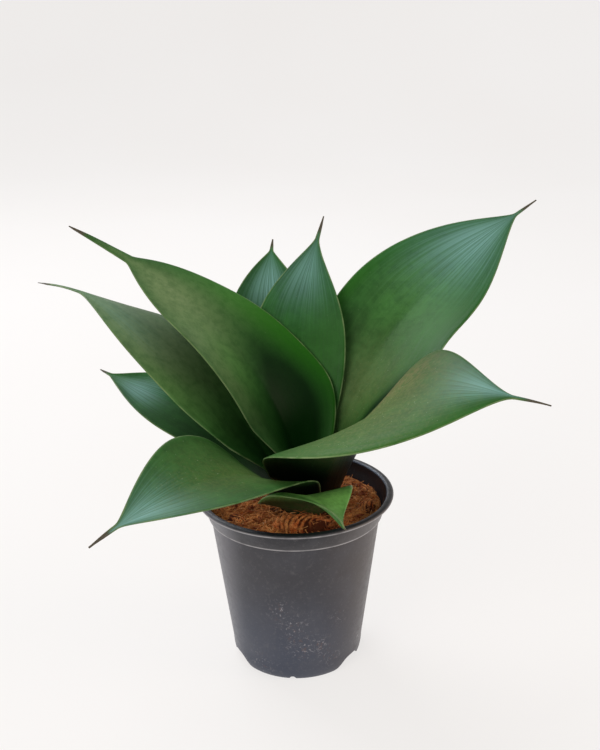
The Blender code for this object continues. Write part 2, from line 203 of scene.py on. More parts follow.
def pot_profile():
    """The pot's outline from the middle of the underside, up the outside and down the inside."""
    rim = []
    for i in range(ROLL_STEPS + 1):
        a = math.radians(-70 + 250 * i / ROLL_STEPS)
        rim.append((RIM_RADIUS - RIM_WIDTH / 2 + RIM_WIDTH / 2 * math.cos(a),
                    UNDER_RIM + RIM_DEPTH / 2 + RIM_DEPTH / 2 * math.sin(a)))
    outside = [(WALL_TOP_RADIUS, COLLAR_FOOT - 0.7), (COLLAR_RADIUS - 0.25, COLLAR_FOOT - 0.45),
               (COLLAR_RADIUS, COLLAR_FOOT + 0.3), (COLLAR_TOP_RADIUS, UNDER_RIM + 0.1),
               rim[0]]
    inside = [rim[-1], (COLLAR_TOP_RADIUS - WALL, UNDER_RIM), (COLLAR_RADIUS - WALL, COLLAR_FOOT),
              (WALL_TOP_RADIUS - WALL, COLLAR_FOOT - STEP)]
    foot = foot_curve(0)
    under = list(reversed(foot_curve(WALL)))
    return [(AXIS, 0), *foot[:-1], *divided([foot[-1], outside[0]], 2.5),
            *rounded(outside, 0.5)[1:-1], *rim[:-1], *inside[:-1],
            *divided([inside[-1], under[0]], 8)[:-1], *under, (AXIS, WALL)]


def cut_arch(pot, angle, width, height):
    """Take one bell-shaped drainage arch out of the foot."""
    outline = [(-width / 2, -2.0)]
    for i in range(ARCH_STEPS + 1):
        across = -1 + i / (ARCH_STEPS / 2)
        rise = 0.5 * (1 + math.cos(math.pi * abs(across) ** 1.7))
        outline.append((width / 2 * across, height * rise))
    outline.append((width / 2, -2.0))
    turn = Matrix.Rotation(math.radians(angle), 4, "Z")
    rows = []
    for radius in (FOOT_RADIUS + FOOT_BEVEL, FOOT_RADIUS - FOOT_BEVEL - ARCH_REACH):
        rows.append([turn @ Vector((radius, y, z)) for y, z in outline])
    cutter = bpy.data.objects.new("arch", grid_mesh("arch", rows))
    bpy.context.scene.collection.objects.link(cutter)
    bm = bmesh.new()
    bm.from_mesh(cutter.data)
    bmesh.ops.holes_fill(bm, edges=bm.edges)
    bmesh.ops.recalc_face_normals(bm, faces=bm.faces)
    bm.to_mesh(cutter.data)
    bm.free()
    modifier = pot.modifiers.new("arch", "BOOLEAN")
    modifier.operation = "DIFFERENCE"
    modifier.solver = "EXACT"
    modifier.object = cutter
    graph = bpy.context.evaluated_depsgraph_get()
    pot.data = bpy.data.meshes.new_from_object(pot.evaluated_get(graph))
    pot.modifiers.clear()
    bpy.data.objects.remove(cutter)


def close_poles(mesh, x=0.0, y=0.0):
    """Merge the tiny rings at a turned shape's axis into closed points, faces outwards."""
    bm = bmesh.new()
    bm.from_mesh(mesh)
    near_axis = [v for v in bm.verts if math.hypot(v.co.x - x, v.co.y - y) < 1.2 * AXIS]
    bmesh.ops.remove_doubles(bm, verts=near_axis, dist=4 * AXIS)
    bmesh.ops.recalc_face_normals(bm, faces=bm.faces)
    bm.to_mesh(mesh)
    bm.free()


profile = pot_profile()
turns = [2 * math.pi * i / POT_SIDES for i in range(POT_SIDES)]
rows = [[(r * math.cos(a), r * math.sin(a), z) for a in turns] for r, z in profile]
# Painted highlights along the rim's outer edge and along the step below the collar: radius, height,
# reach.
EDGE_HIGHLIGHTS = [(RIM_RADIUS - 0.1, UNDER_RIM + RIM_DEPTH * 0.4, 0.4), (COLLAR_RADIUS, COLLAR_FOOT, 0.5)]
# The roll's inner edge, which catches the light: radius and height, and how wide it is.
LIP = (RIM_RADIUS - RIM_WIDTH + 0.35, POT_HEIGHT - 0.5)
LIP_REACH = 0.45
# Dust and soil splashed on the wall: bearing, height, reach, strength.
SPLASHES = [(-102, 45, 5, 0.9), (-92, 35, 6, 1.0), (-57, 37, 4, 0.6), (-88, 22, 6, 1.0),
            (-72, 21, 5, 0.9), (-60, 12, 5, 0.7), (-123, 7, 6, 0.8), (-25, 15, 6, 0.8),
            (60, 30, 8, 0.9), (140, 24, 9, 1.0), (185, 40, 6, 0.7)]
crown = max(range(len(profile)), key=lambda i: profile[i][1])
shade_start = crown - 8          # the first profile point where the inner side's darkness may start
on_rim = crown - 12          # splashes stay below this one
rubbed, inner, lip, splash = [], [], [], []
for i, (r, z) in enumerate(profile):
    near = max(math.exp(-(math.dist((r, z), (er, ez)) / reach) ** 2) for er, ez, reach in EDGE_HIGHLIGHTS)
    rubbed += [near] * POT_SIDES
    # Painted shade on the pot's inner side, from the top of the roll inwards.
    t = min(max((RIM_RADIUS - r - 0.15) / 0.5, 0), 1) if i > shade_start else 0.0
    inner += [t] * POT_SIDES
    lip += [math.exp(-(math.dist((r, z), LIP) / LIP_REACH) ** 2)] * POT_SIDES
    for a in turns:
        total = 0.0
        for bearing, height, reach, strength in SPLASHES if i < on_rim else ():
            away = math.remainder(a - math.radians(bearing), 2 * math.pi) * r
            total += strength * math.exp(-(away / reach) ** 2 - ((z - height) / reach) ** 2)
        splash.append(min(total, 1.0))
shell = bpy.data.objects.new("pot_shell", grid_mesh(
    "pot_shell", rows, rubbed=rubbed, inner=inner, lip=lip, splash=splash))
bpy.context.scene.collection.objects.link(shell)
close_poles(shell.data)
for arch in ARCHES:
    cut_arch(shell, *arch)
pot_mesh = shell.data.copy()
bpy.data.objects.remove(shell)

# Polypropylene, injection moulded with a fine satin grain: a soft, broad gloss, a bluish cast low
# down, and dust and brown smears of soil, thick where watering splashed and thin elsewhere. Painted
# into its colour: warm light on the right, a paler painted highlight on the left, painted shade
# over the collar band and the rim, painted highlights along the rim's outer edge and the step,
# painted shade on the inner side, and a painted highlight on the roll's inner edge.
pot_plastic, tree, shader = new_material(
    "polypropylene_satin", IOR=1.49, Metallic=0.0, Specular_IOR_Level=0.38)
place = add_node(tree, "ShaderNodeTexCoord").outputs["Object"]
x, _, z = add_node(tree, "ShaderNodeSeparateXYZ", {0: place}).outputs
cloud = mottle(tree, place, 24, 3)
film_and_sheen = mottle(tree, place, 3.2, 4, 0.65)
smear = mottle(tree, place, 2.4, 4, 0.7)
inner, splashed = (add_node(tree, "ShaderNodeAttribute", attribute_name=mark).outputs["Fac"]
                   for mark in ("inner", "splash"))
inside = add_node(tree, "ShaderNodeMath", {0: inner, 1: 0.92}, operation="MULTIPLY").outputs[0]
dusty = add_node(tree, "ShaderNodeMath", {0: splashed, 1: 0.75, 2: 0.05},
                 operation="MULTIPLY_ADD").outputs[0]
colour = coated(tree, linear("#343338"), [
    (showing(tree, z, 0.070, 0.015), "#3a3f4d"),
    # Painted shade: the collar band and everything above it are darker.
    (showing(tree, z, 0.0825, 0.0850), "#121118"),
    # Painted highlight: paler towards the left side.
    (showing(tree, x, -0.026, -0.042, 0, 0.7), "#727077"),
    # Painted warm light on the right side.
    (showing(tree, x, 0.005, 0.048), "#48403e"),
    (showing(tree, cloud, 0.35, 0.75, 0, 0.4), "#4c4d55"),
    (showing(tree, film_and_sheen, 0.52, 0.82, 0, 0.30), "#6f6d6e"),
    # Painted highlights along the rim's outer edge and the step.
    (showing(tree, mottle(tree, place, 7, 2), 0.25, 0.6, 0.35, 0.9, "rubbed"), "#a5a2a3"),
    # Painted shade on the pot's inner side.
    (inside, "#0d111b"),
    # Painted highlight along the roll's inner edge.
    (showing(tree, mottle(tree, place, 10, 2), 0.3, 0.6, 0.3, 0.8, "lip"), "#6d7c97"),
    (showing(tree, mottle(tree, place, 1.5, 4, 0.7), 0.55, 0.66, within=dusty), "#98959a"),
    (showing(tree, smear, 0.56, 0.68, 0, 0.55, "splash"), "#6b5148"),
])
tree.links.new(colour, shader.inputs["Base Color"])
rough = add_node(tree, "ShaderNodeMath", {
    0: showing(tree, film_and_sheen, 0.4, 0.8, 0.36, 0.52),
    1: showing(tree, smear, 0.56, 0.68, 0, 0.3, "splash")}, operation="ADD").outputs[0]
tree.links.new(rough, shader.inputs["Roughness"])
# The moulded grain is drawn coarser than real, so that it shows.
grain = mottle(tree, place, 0.5, 2, 0.6)
relief = add_node(tree, "ShaderNodeMath", {0: cloud, 1: 3.0, 2: grain}, operation="MULTIPLY_ADD")
bump = add_node(tree, "ShaderNodeBump", {
    "Height": relief.outputs[0], "Strength": 0.10, "Distance": 0.0004})
tree.links.new(bump.outputs[0], shader.inputs["Normal"])
pot = finish_mesh("pot_shell", pot_mesh, pot_plastic, "pot_plastic", "nursery_pot")
pot.data.set_sharp_from_angle(angle=math.radians(50))

# ---- growing medium --------------------------------------------------------------------------
# Coir: short orange-brown fibres and pith, packed damp into the pot to just under the rim and
# dried. It is loose on top, clumped and pitted, with a hollow beside the husk at the front.
GAP = 0.3                  # clearance between pieces that touch
MEDIUM_DROP = 8.9          # rim top down to the medium's surface
MEDIUM_SWELL = 0.8         # height of the surface's gentle swells
DISH_DROP = 1.5            # the surface dips this much around the rootstock
DISH_REACH = 9.0           # width of the slope from the dip to the surface
MEDIUM_FOOT = 1.5          # the medium's underside stands this far above the table
WALL_SPACE = 1.6           # from the pot's outside to the medium
CLUMP_LIFT = 1.5           # height of the clumps of loose coir
MEDIUM_Z = POT_HEIGHT - MEDIUM_DROP
MEDIUM_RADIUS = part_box("coir_medium")[1].x * 1000
MEDIUM_RINGS = 110
MEDIUM_SIDES = 300
root_low, root_high = (corner * 1000 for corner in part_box("rootstock"))
ROOT_X, ROOT_Y = (root_low.x + root_high.x) / 2, (root_low.y + root_high.y) / 2
ROOT_RADIUS = (root_high.x - root_low.x) / 2
# Hollows in the surface: place across and back, reach across and back, depth.
HOLLOWS = [(14.5, -35.0, 8.5, 7.0, 3.4), (-37.0, -16.0, 7.0, 5.0, 1.2),
           (41.0, -13.0, 4.0, 6.0, 1.5)]


def smooth(value, low, high):
    """A smooth step from 0 to 1 as a value goes from low to high."""
    t = min(max((value - low) / (high - low), 0.0), 1.0)
    return t * t * (3 - 2 * t)


def hollow_depth(x, y):
    return sum(depth * math.exp(-((x - across) / wide) ** 2 - ((y - back) / deep) ** 2)
               for across, back, wide, deep, depth in HOLLOWS)


def medium_level(x, y):
    """The broad height of the medium: gentle swells, a dish round the rootstock, and hollows."""
    swell = math.sin(x / 7.5 + 0.6) * math.cos(y / 8.5 - 0.4) + 0.5 * math.sin((x + y) / 6.0)
    rise = smooth(math.hypot(x - ROOT_X, y - ROOT_Y) - ROOT_RADIUS, 0, DISH_REACH)
    level = MEDIUM_Z - DISH_DROP * (1 - rise) + MEDIUM_SWELL * swell * rise
    return level - hollow_depth(x, y)


def clumps(x, y, seed):
    """Height of the clumps and pits of loose coir, from about -1 to 1."""
    place = Vector((x, y, seed))
    coarse = noise.fractal(place / 5.0, 0.9, 2.1, 3)
    fine = noise.fractal(place / 1.5, 0.8, 2.0, 3)
    thread = 1 - abs(noise.noise(Vector((x / 2.6 + 1.3 * coarse, y / 0.9, seed)))) * 2
    return 0.55 * coarse + 0.35 * fine + 0.25 * thread


def medium_point(r, a):
    """A point of the loose surface, and how far it stands above its surroundings, which sets its
    painted shade.
    """
    x, y = r * math.cos(a), r * math.sin(a)
    edge = smooth(MEDIUM_RADIUS - r, 0, 2.5)
    lift = CLUMP_LIFT * clumps(x, y, 3.0) * (0.3 + 0.7 * edge)
    point = (x, y, medium_level(x, y) + lift - 0.8 * (1 - edge))
    # The painted shade is deeper in the hollows and next to the wall.
    return point, lift - 0.6 * hollow_depth(x, y) - 0.5 * (1 - edge)


medium_turns = [2 * math.pi * i / MEDIUM_SIDES for i in range(MEDIUM_SIDES)]
wall_line = [(AXIS, MEDIUM_FOOT), (FOOT_RADIUS - FOOT_BEVEL - WALL_SPACE, MEDIUM_FOOT),
             (FOOT_RADIUS - WALL_SPACE, 9.0), (WALL_TOP_RADIUS - WALL_SPACE, COLLAR_FOOT - 1.3),
             (COLLAR_RADIUS - WALL_SPACE, COLLAR_FOOT)]
rows = [[(r * math.cos(a), r * math.sin(a), z) for a in medium_turns] for r, z in wall_line]
# The bed's sides and underside are given almost full painted shade.
pits = [0.05] * (len(rows) * MEDIUM_SIDES)
for i in range(MEDIUM_RINGS + 1):
    radius = max(MEDIUM_RADIUS * (1 - i / MEDIUM_RINGS), AXIS)
    made = [medium_point(radius, a) for a in medium_turns]
    rows.append([point for point, _ in made])
    pits += [0.5 + 0.5 * lift for _, lift in made]
medium_mesh = grid_mesh("medium", rows, raised=pits)
close_poles(medium_mesh)


def coir_material(name, dark, middle, light, depth):
    """Matted fibre, fully matt: bright on the high threads, with painted shade that darkens it
    between the clumps and wherever the surface lies low.
    """
    made, tree, shader = new_material(name, Roughness=0.92, Specular_IOR_Level=0.25, IOR=1.45)
    place = add_node(tree, "ShaderNodeTexCoord").outputs["Object"]
    raised = add_node(tree, "ShaderNodeAttribute", attribute_name="raised").outputs["Fac"]
    threads = mottle(tree, place, 0.8, 4, 0.7, (1.0, 2.4, 1.6))
    colour = coated(tree, linear(middle), [
        (showing(tree, mottle(tree, place, 4.0, 4, 0.65), 0.3, 0.7), light),
        (showing(tree, threads, 0.56, 0.36, 0, 0.6), dark),
        # Painted shade where the surface lies low.
        (showing(tree, raised, 0.55, 0.05, 0, 0.95), dark),
        (showing(tree, mottle(tree, place, 1.1, 2, 0.5), 0.70, 0.76, 0, 0.6), "#d9a878"),
    ])
    tree.links.new(colour, shader.inputs["Base Color"])
    bump = add_node(tree, "ShaderNodeBump", {"Height": threads, "Strength": 0.8, "Distance": depth})
    tree.links.new(bump.outputs[0], shader.inputs["Normal"])
    return made


coir = coir_material("coir", "#4a1d0a", "#d26e33", "#f3a45c", 0.0009)
finish_mesh("coir_bed", medium_mesh, coir, "coir", "coir_medium")


# The loose fibres are bent threads 4 to 11 mm long, lying every way on the bed. They are drawn
# thicker than real, so that they show.
FIBRE_BENDS = (0.10, 0.28, -0.45)       # sideways bow of each shape, as a share of its length
FIBRE_TILT = 0.35                       # radians
FIBRE_RINGS = 6
FIBRE_SIDES = 3
FIBRE_POINTS = FIBRE_RINGS * FIBRE_SIDES


def fibre_tree(name):
    """Geometry nodes that scatter bent threads over a surface."""
    tree = bpy.data.node_groups.new(name, "GeometryNodeTree")
    sides = tree.interface
    sides.new_socket("Geometry", in_out="INPUT", socket_type="NodeSocketGeometry")
    for label in ("Fibre length", "Fibre radius", "Fibres per square metre", "Lift"):
        sides.new_socket(label, in_out="INPUT", socket_type="NodeSocketFloat")
    sides.new_socket("Seed", in_out="INPUT", socket_type="NodeSocketInt")
    sides.new_socket("Fibre material", in_out="INPUT", socket_type="NodeSocketMaterial")
    sides.new_socket("Geometry", in_out="OUTPUT", socket_type="NodeSocketGeometry")
    given = add_node(tree, "NodeGroupInput").outputs
    up = add_node(tree, "GeometryNodeInputNormal").outputs[0]
    flat = add_node(tree, "ShaderNodeSeparateXYZ", {0: up}).outputs["Z"]
    facing = add_node(tree, "FunctionNodeCompare", {0: flat, 1: 0.35},
                      operation="GREATER_THAN").outputs[0]
    scatter = add_node(tree, "GeometryNodeDistributePointsOnFaces", {
        "Mesh": given["Geometry"], "Selection": facing, "Density": given["Fibres per square metre"],
        "Seed": given["Seed"]})
    shapes = []
    for bend in FIBRE_BENDS:
        side, back, half = (
            add_node(tree, "ShaderNodeMath", {0: given["Fibre length"], 1: share},
                     operation="MULTIPLY").outputs[0] for share in (bend, -0.5, 0.5))
        start = add_node(tree, "ShaderNodeCombineXYZ", {0: back})
        end = add_node(tree, "ShaderNodeCombineXYZ", {0: half, 1: side})
        middle = add_node(tree, "ShaderNodeCombineXYZ", {1: side, 2: given["Lift"]})
        arc = add_node(tree, "GeometryNodeCurveQuadraticBezier", {
            "Resolution": FIBRE_RINGS - 1, "Start": start.outputs[0],
            "Middle": middle.outputs[0], "End": end.outputs[0]})
        round_section = add_node(tree, "GeometryNodeCurvePrimitiveCircle", {
            "Resolution": FIBRE_SIDES, "Radius": given["Fibre radius"]}, mode="RADIUS")
        shapes.append(add_node(tree, "GeometryNodeCurveToMesh", {
            "Curve": arc.outputs[0], "Profile Curve": round_section.outputs[0],
            "Fill Caps": True}).outputs[0])
    choice = add_node(tree, "GeometryNodeGeometryToInstance")
    for shape in reversed(shapes):
        tree.links.new(shape, choice.inputs[0])
    turn = add_node(tree, "FunctionNodeRandomValue", {
        "Min": (-FIBRE_TILT, -FIBRE_TILT, 0.0), "Max": (FIBRE_TILT, FIBRE_TILT, 6.283),
        "Seed": given["Seed"]}, data_type="FLOAT_VECTOR")
    spin = add_node(tree, "FunctionNodeEulerToRotation", {0: turn.outputs[0]})
    lie = add_node(tree, "FunctionNodeRotateRotation", {
        "Rotation": scatter.outputs["Rotation"], "Rotate By": spin.outputs[0]},
        rotation_space="LOCAL")
    size = add_node(tree, "FunctionNodeRandomValue", {
        2: 0.45, 3: 1.3, "Seed": given["Seed"]}, data_type="FLOAT")
    laid = add_node(tree, "GeometryNodeInstanceOnPoints", {
        "Points": scatter.outputs["Points"], "Instance": choice.outputs[0], "Pick Instance": True,
        "Rotation": lie.outputs[0], "Scale": size.outputs[1]})
    real = add_node(tree, "GeometryNodeRealizeInstances", {0: laid.outputs[0]})
    coat = add_node(tree, "GeometryNodeSetMaterial", {
        "Geometry": real.outputs[0], "Material": given["Fibre material"]})
    add_node(tree, "NodeGroupOutput", {0: coat.outputs[0]})
    return tree


def grow_fibres(name, source, fibre, slot, **sizes):
    """Lay fibres on a source mesh in metres, and keep those inside the pot as a plain mesh."""
    holder = bpy.data.objects.new(name, source.copy())
    bpy.context.scene.collection.objects.link(holder)
    modifier = holder.modifiers.new("fibres", "NODES")
    modifier.node_group = FIBRES
    given = {s.name: s.identifier for s in FIBRES.interface.items_tree if s.in_out == "INPUT"}
    for label, value in {**sizes, "Fibre material": fibre}.items():
        modifier[given[label.replace("_", " ")]] = value
    holder.update_tag()
    graph = bpy.context.evaluated_depsgraph_get()
    mesh = bpy.data.meshes.new_from_object(holder.evaluated_get(graph))
    bpy.data.objects.remove(holder)
    mesh.transform(Matrix.Scale(1000, 4))
    bm = bmesh.new()
    bm.from_mesh(mesh)
    points = list(bm.verts)
    outside = []
    for start in range(0, len(points), FIBRE_POINTS):
        fibre_points = points[start:start + FIBRE_POINTS]
        if max(point.co.xy.length for point in fibre_points) > MEDIUM_RADIUS - GAP:
            outside += fibre_points
    bmesh.ops.delete(bm, geom=outside, context="VERTS")
    bm.to_mesh(mesh)
    bm.free()
    return finish_mesh(name, mesh, fibre, slot)


FIBRES = fibre_tree("coir_fibres")
# Dry coir thread: matt and a little hairy, from dark brown to straw.
fibre_brown, tree, shader = new_material(
    "coir_fibre", Roughness=0.8, Specular_IOR_Level=0.3, IOR=1.5)
place = add_node(tree, "ShaderNodeTexCoord").outputs["Object"]
colour = coated(tree, linear("#8f4520"), [
    (showing(tree, mottle(tree, place, 5, 2), 0.3, 0.7), "#f0a662"),
    (showing(tree, mottle(tree, place, 2.2, 2), 0.62, 0.75), "#e8bd90"),
])
tree.links.new(colour, shader.inputs["Base Color"])
FIBRE_EDGE = 0.0445        # metres from the pot's axis; no fibre grows outside it
top = bpy.data.meshes.new("medium_top")
bm = bmesh.new()
bm.from_mesh(medium_mesh)
hidden = [f for f in bm.faces
          if f.normal.z < 0.2 or f.calc_center_median().xy.length > FIBRE_EDGE]
bmesh.ops.delete(bm, geom=hidden, context="FACES")
bm.to_mesh(top)
bm.free()
grow_fibres("coir_fibres", top, fibre_brown, "coir", Fibre_length=0.0085,
            Fibre_radius=0.00022, Fibres_per_square_metre=460000.0, Lift=0.0014, Seed=4)

# ---- loose husk ------------------------------------------------------------------------------
# Chips of coconut husk lying on the coir. Their fibres run side by side in curved bands, so the
# top of each chip is ridged. They were strewn with the medium and are fixed by nothing.
# Each chip is length, width, height, turn, how far its ridges bend, the space between them, and
# how far they turn from its length.
HUSK = {
    "husk_front": (34.0, 18.0, 9.0, 4.0, -0.25, 2.9, 124.0),
    "husk_front_right": (14.0, 8.0, 4.0, 50.0, 0.1, 1.8, 0.0),
    "husk_right": (18.0, 11.0, 6.0, 75.0, 0.1, 2.0, 0.0),
    "husk_right_rear": (14.0, 8.0, 5.0, 105.0, 0.1, 1.8, 0.0),
    "husk_left": (18.0, 9.0, 4.5, 125.0, 0.1, 1.8, 0.0),
    "husk_rear_left": (17.0, 9.0, 4.5, 50.0, 0.1, 2.0, 0.0),
}
HUSK_ACROSS = 44


def husk_mesh(name, length, width, height, turn, bend, ridge, lie):
    """A ragged domed chip with ridges on top, in millimetres, standing where its CAD node does."""
    low, high = (corner * 1000 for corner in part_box(name))
    middle_x, middle_y = (low.x + high.x) / 2, (low.y + high.y) / 2
    turn, lie = math.radians(turn), math.radians(lie)
    steps = HUSK_ACROSS * 2
    top_rows, under_rows, raised = [], [], []
    for i in range(steps + 1):
        top_row, under_row = [], []
        for j in range(HUSK_ACROSS + 1):
            s, t = -1 + 2 * i / steps, -1 + 2 * j / HUSK_ACROSS
            u, v = s * math.sqrt(1 - t * t / 2), t * math.sqrt(1 - s * s / 2)
            out = min(math.hypot(u, v), 1.0)
            ragged = 1 + 0.10 * noise.noise(Vector((u * 2 + middle_x, v * 2, 0)))
            across, along = u * length / 2 * ragged, v * width / 2 * ragged
            x = middle_x + across * math.cos(turn) - along * math.sin(turn)
            y = middle_y + across * math.sin(turn) + along * math.cos(turn)
            base = medium_level(x, y) - 0.8
            beside = across * math.sin(lie) + along * math.cos(lie)
            curve = beside + bend * (across * math.cos(lie) - along * math.sin(lie)) ** 2 / 10
            wander = 1.6 * noise.noise(Vector((x / 6, y / 6, middle_y)))
            wander += 0.7 * noise.noise(Vector((x, y, 5.0)) / 1.8)
            band = math.cos(2 * math.pi * (curve + wander) / ridge)
            band *= 0.55 + 0.45 * noise.noise(Vector((x / 3, y / 3, 1.0)))
            lump = (height * 0.9) * (1 - out ** 2.6) ** 0.8
            lump *= 0.85 + 0.25 * noise.noise(Vector((x / 6, y / 6, 9.0)))
            lump += (0.22 * ridge * band + 0.25 * clumps(x, y, 7.0)) * (1 - out ** 6)
            top_row.append((x, y, base + max(lump, 0)))
            under_row.append((x, y, base - 0.1 * (1 - out)))
            # Painted shade: darker in the grooves between the ridges and in the hollows; the
            # underside gets more.
            raised.append(
                0.48 + 0.5 * band + 0.25 * clumps(x, y, 7.0) - 0.6 * hollow_depth(x, y))
        top_rows.append(top_row)
        under_rows.append(under_row)
    top = grid_mesh(name + "_chip", top_rows, wrap=False, raised=raised)
    under = grid_mesh(name + "_under", [row[::-1] for row in under_rows], wrap=False,
                      raised=[0.2] * len(raised))
    bm = bmesh.new()
    bm.from_mesh(top)
    bm.from_mesh(under)
    bmesh.ops.remove_doubles(bm, verts=bm.verts, dist=0.002)
    bmesh.ops.recalc_face_normals(bm, faces=bm.faces)
    bm.to_mesh(top)
    bm.free()
    return top


husk_fibre = coir_material("coconut_husk", "#451608", "#d36b34", "#f4a564", 0.0006)
for name, sizes in HUSK.items():
    chip = finish_mesh(name + "_chip", husk_mesh(name, *sizes), husk_fibre, "husk", name)
    grow_fibres(name + "_threads", chip.data, fibre_brown, "husk", Fibre_length=0.006,
                Fibre_radius=0.00015, Fibres_per_square_metre=70000.0, Lift=0.0011, Seed=11)

# ---- rootstock -------------------------------------------------------------------------------
# The short woody crown that all the leaves grow from. It is brown, scarred and half buried, and
# coir has been pressed over it.
ROOT_TOP = root_high.z
ROOT_SIDES = 150
ROOT_RINGS = 45


def root_point(r, a):
    x, y = ROOT_X + r * math.cos(a), ROOT_Y + r * math.sin(a)
    lift = clumps(x, y, 15.0)
    worn = 1.2 * smooth(r, ROOT_RADIUS - 4, ROOT_RADIUS)
    return (x, y, ROOT_TOP + 0.5 + 1.3 * lift - worn), lift


root_turns = [2 * math.pi * i / ROOT_SIDES for i in range(ROOT_SIDES)]
root_line = [(AXIS, root_low.z), (ROOT_RADIUS - 6, root_low.z), (ROOT_RADIUS, ROOT_TOP - 6)]
rows = [[(ROOT_X + r * math.cos(a), ROOT_Y + r * math.sin(a), z) for a in root_turns]
        for r, z in root_line]
# Painted shade: the crown's sides are dark, and its top is darker where it lies low.
raised = [0.3] * (len(rows) * ROOT_SIDES)
for i in range(ROOT_RINGS + 1):
    made = [root_point(max(ROOT_RADIUS * (1 - i / ROOT_RINGS), AXIS), a) for a in root_turns]
    rows.append([point for point, _ in made])
    raised += [0.35 + 0.4 * lift for _, lift in made]
root_mesh = grid_mesh("root", rows, raised=raised)
close_poles(root_mesh, ROOT_X, ROOT_Y)
root_bark = coir_material("rootstock_bark", "#1c0f08", "#4a2c19", "#6b4426", 0.0006)
finish_mesh("rootstock_crown", root_mesh, root_bark, "rootstock", "rootstock")

# ---- leaves ----------------------------------------------------------------------------------
# Nine thick, stiff, waxy blades grown in a bird's-nest rosette. Each is cupped and clasps the
# next one in at the foot, has parallel veins and a pale hard margin, and ends in a dry spine.
LEAF_THICKNESS = 2.1       # at the midrib
MARGIN_THICKNESS = 0.6
SPINE_TIP_WIDTH = 0.5
LEAF_ROWS = 132            # along a leaf
LEAF_COLUMNS = 18          # from the midrib to each margin
HEART_RADIUS = 3.6         # the rosette's empty middle
LEAF_SPACING = 0.5         # between the feet of neighbouring leaves
FULL = 2.2                 # how full an outline stays past its widest place, where none is given
GREEN = 0.2                # how much of a spine is green, where none is given
CREASE = 0.35              # how much of the cup is a crease at the midrib
WAVE = 1.1                 # height of a grown blade's slight waves
LOBE_PLACE = 0.31          # where a lobe is, as a share of the midrib
LOBE_REACH = 0.12          # and how far it spreads along it
# The rosette's axis stands a little off the rootstock's.
CROWN_X, CROWN_Y = ROOT_X + 1.942, ROOT_Y + 4.424
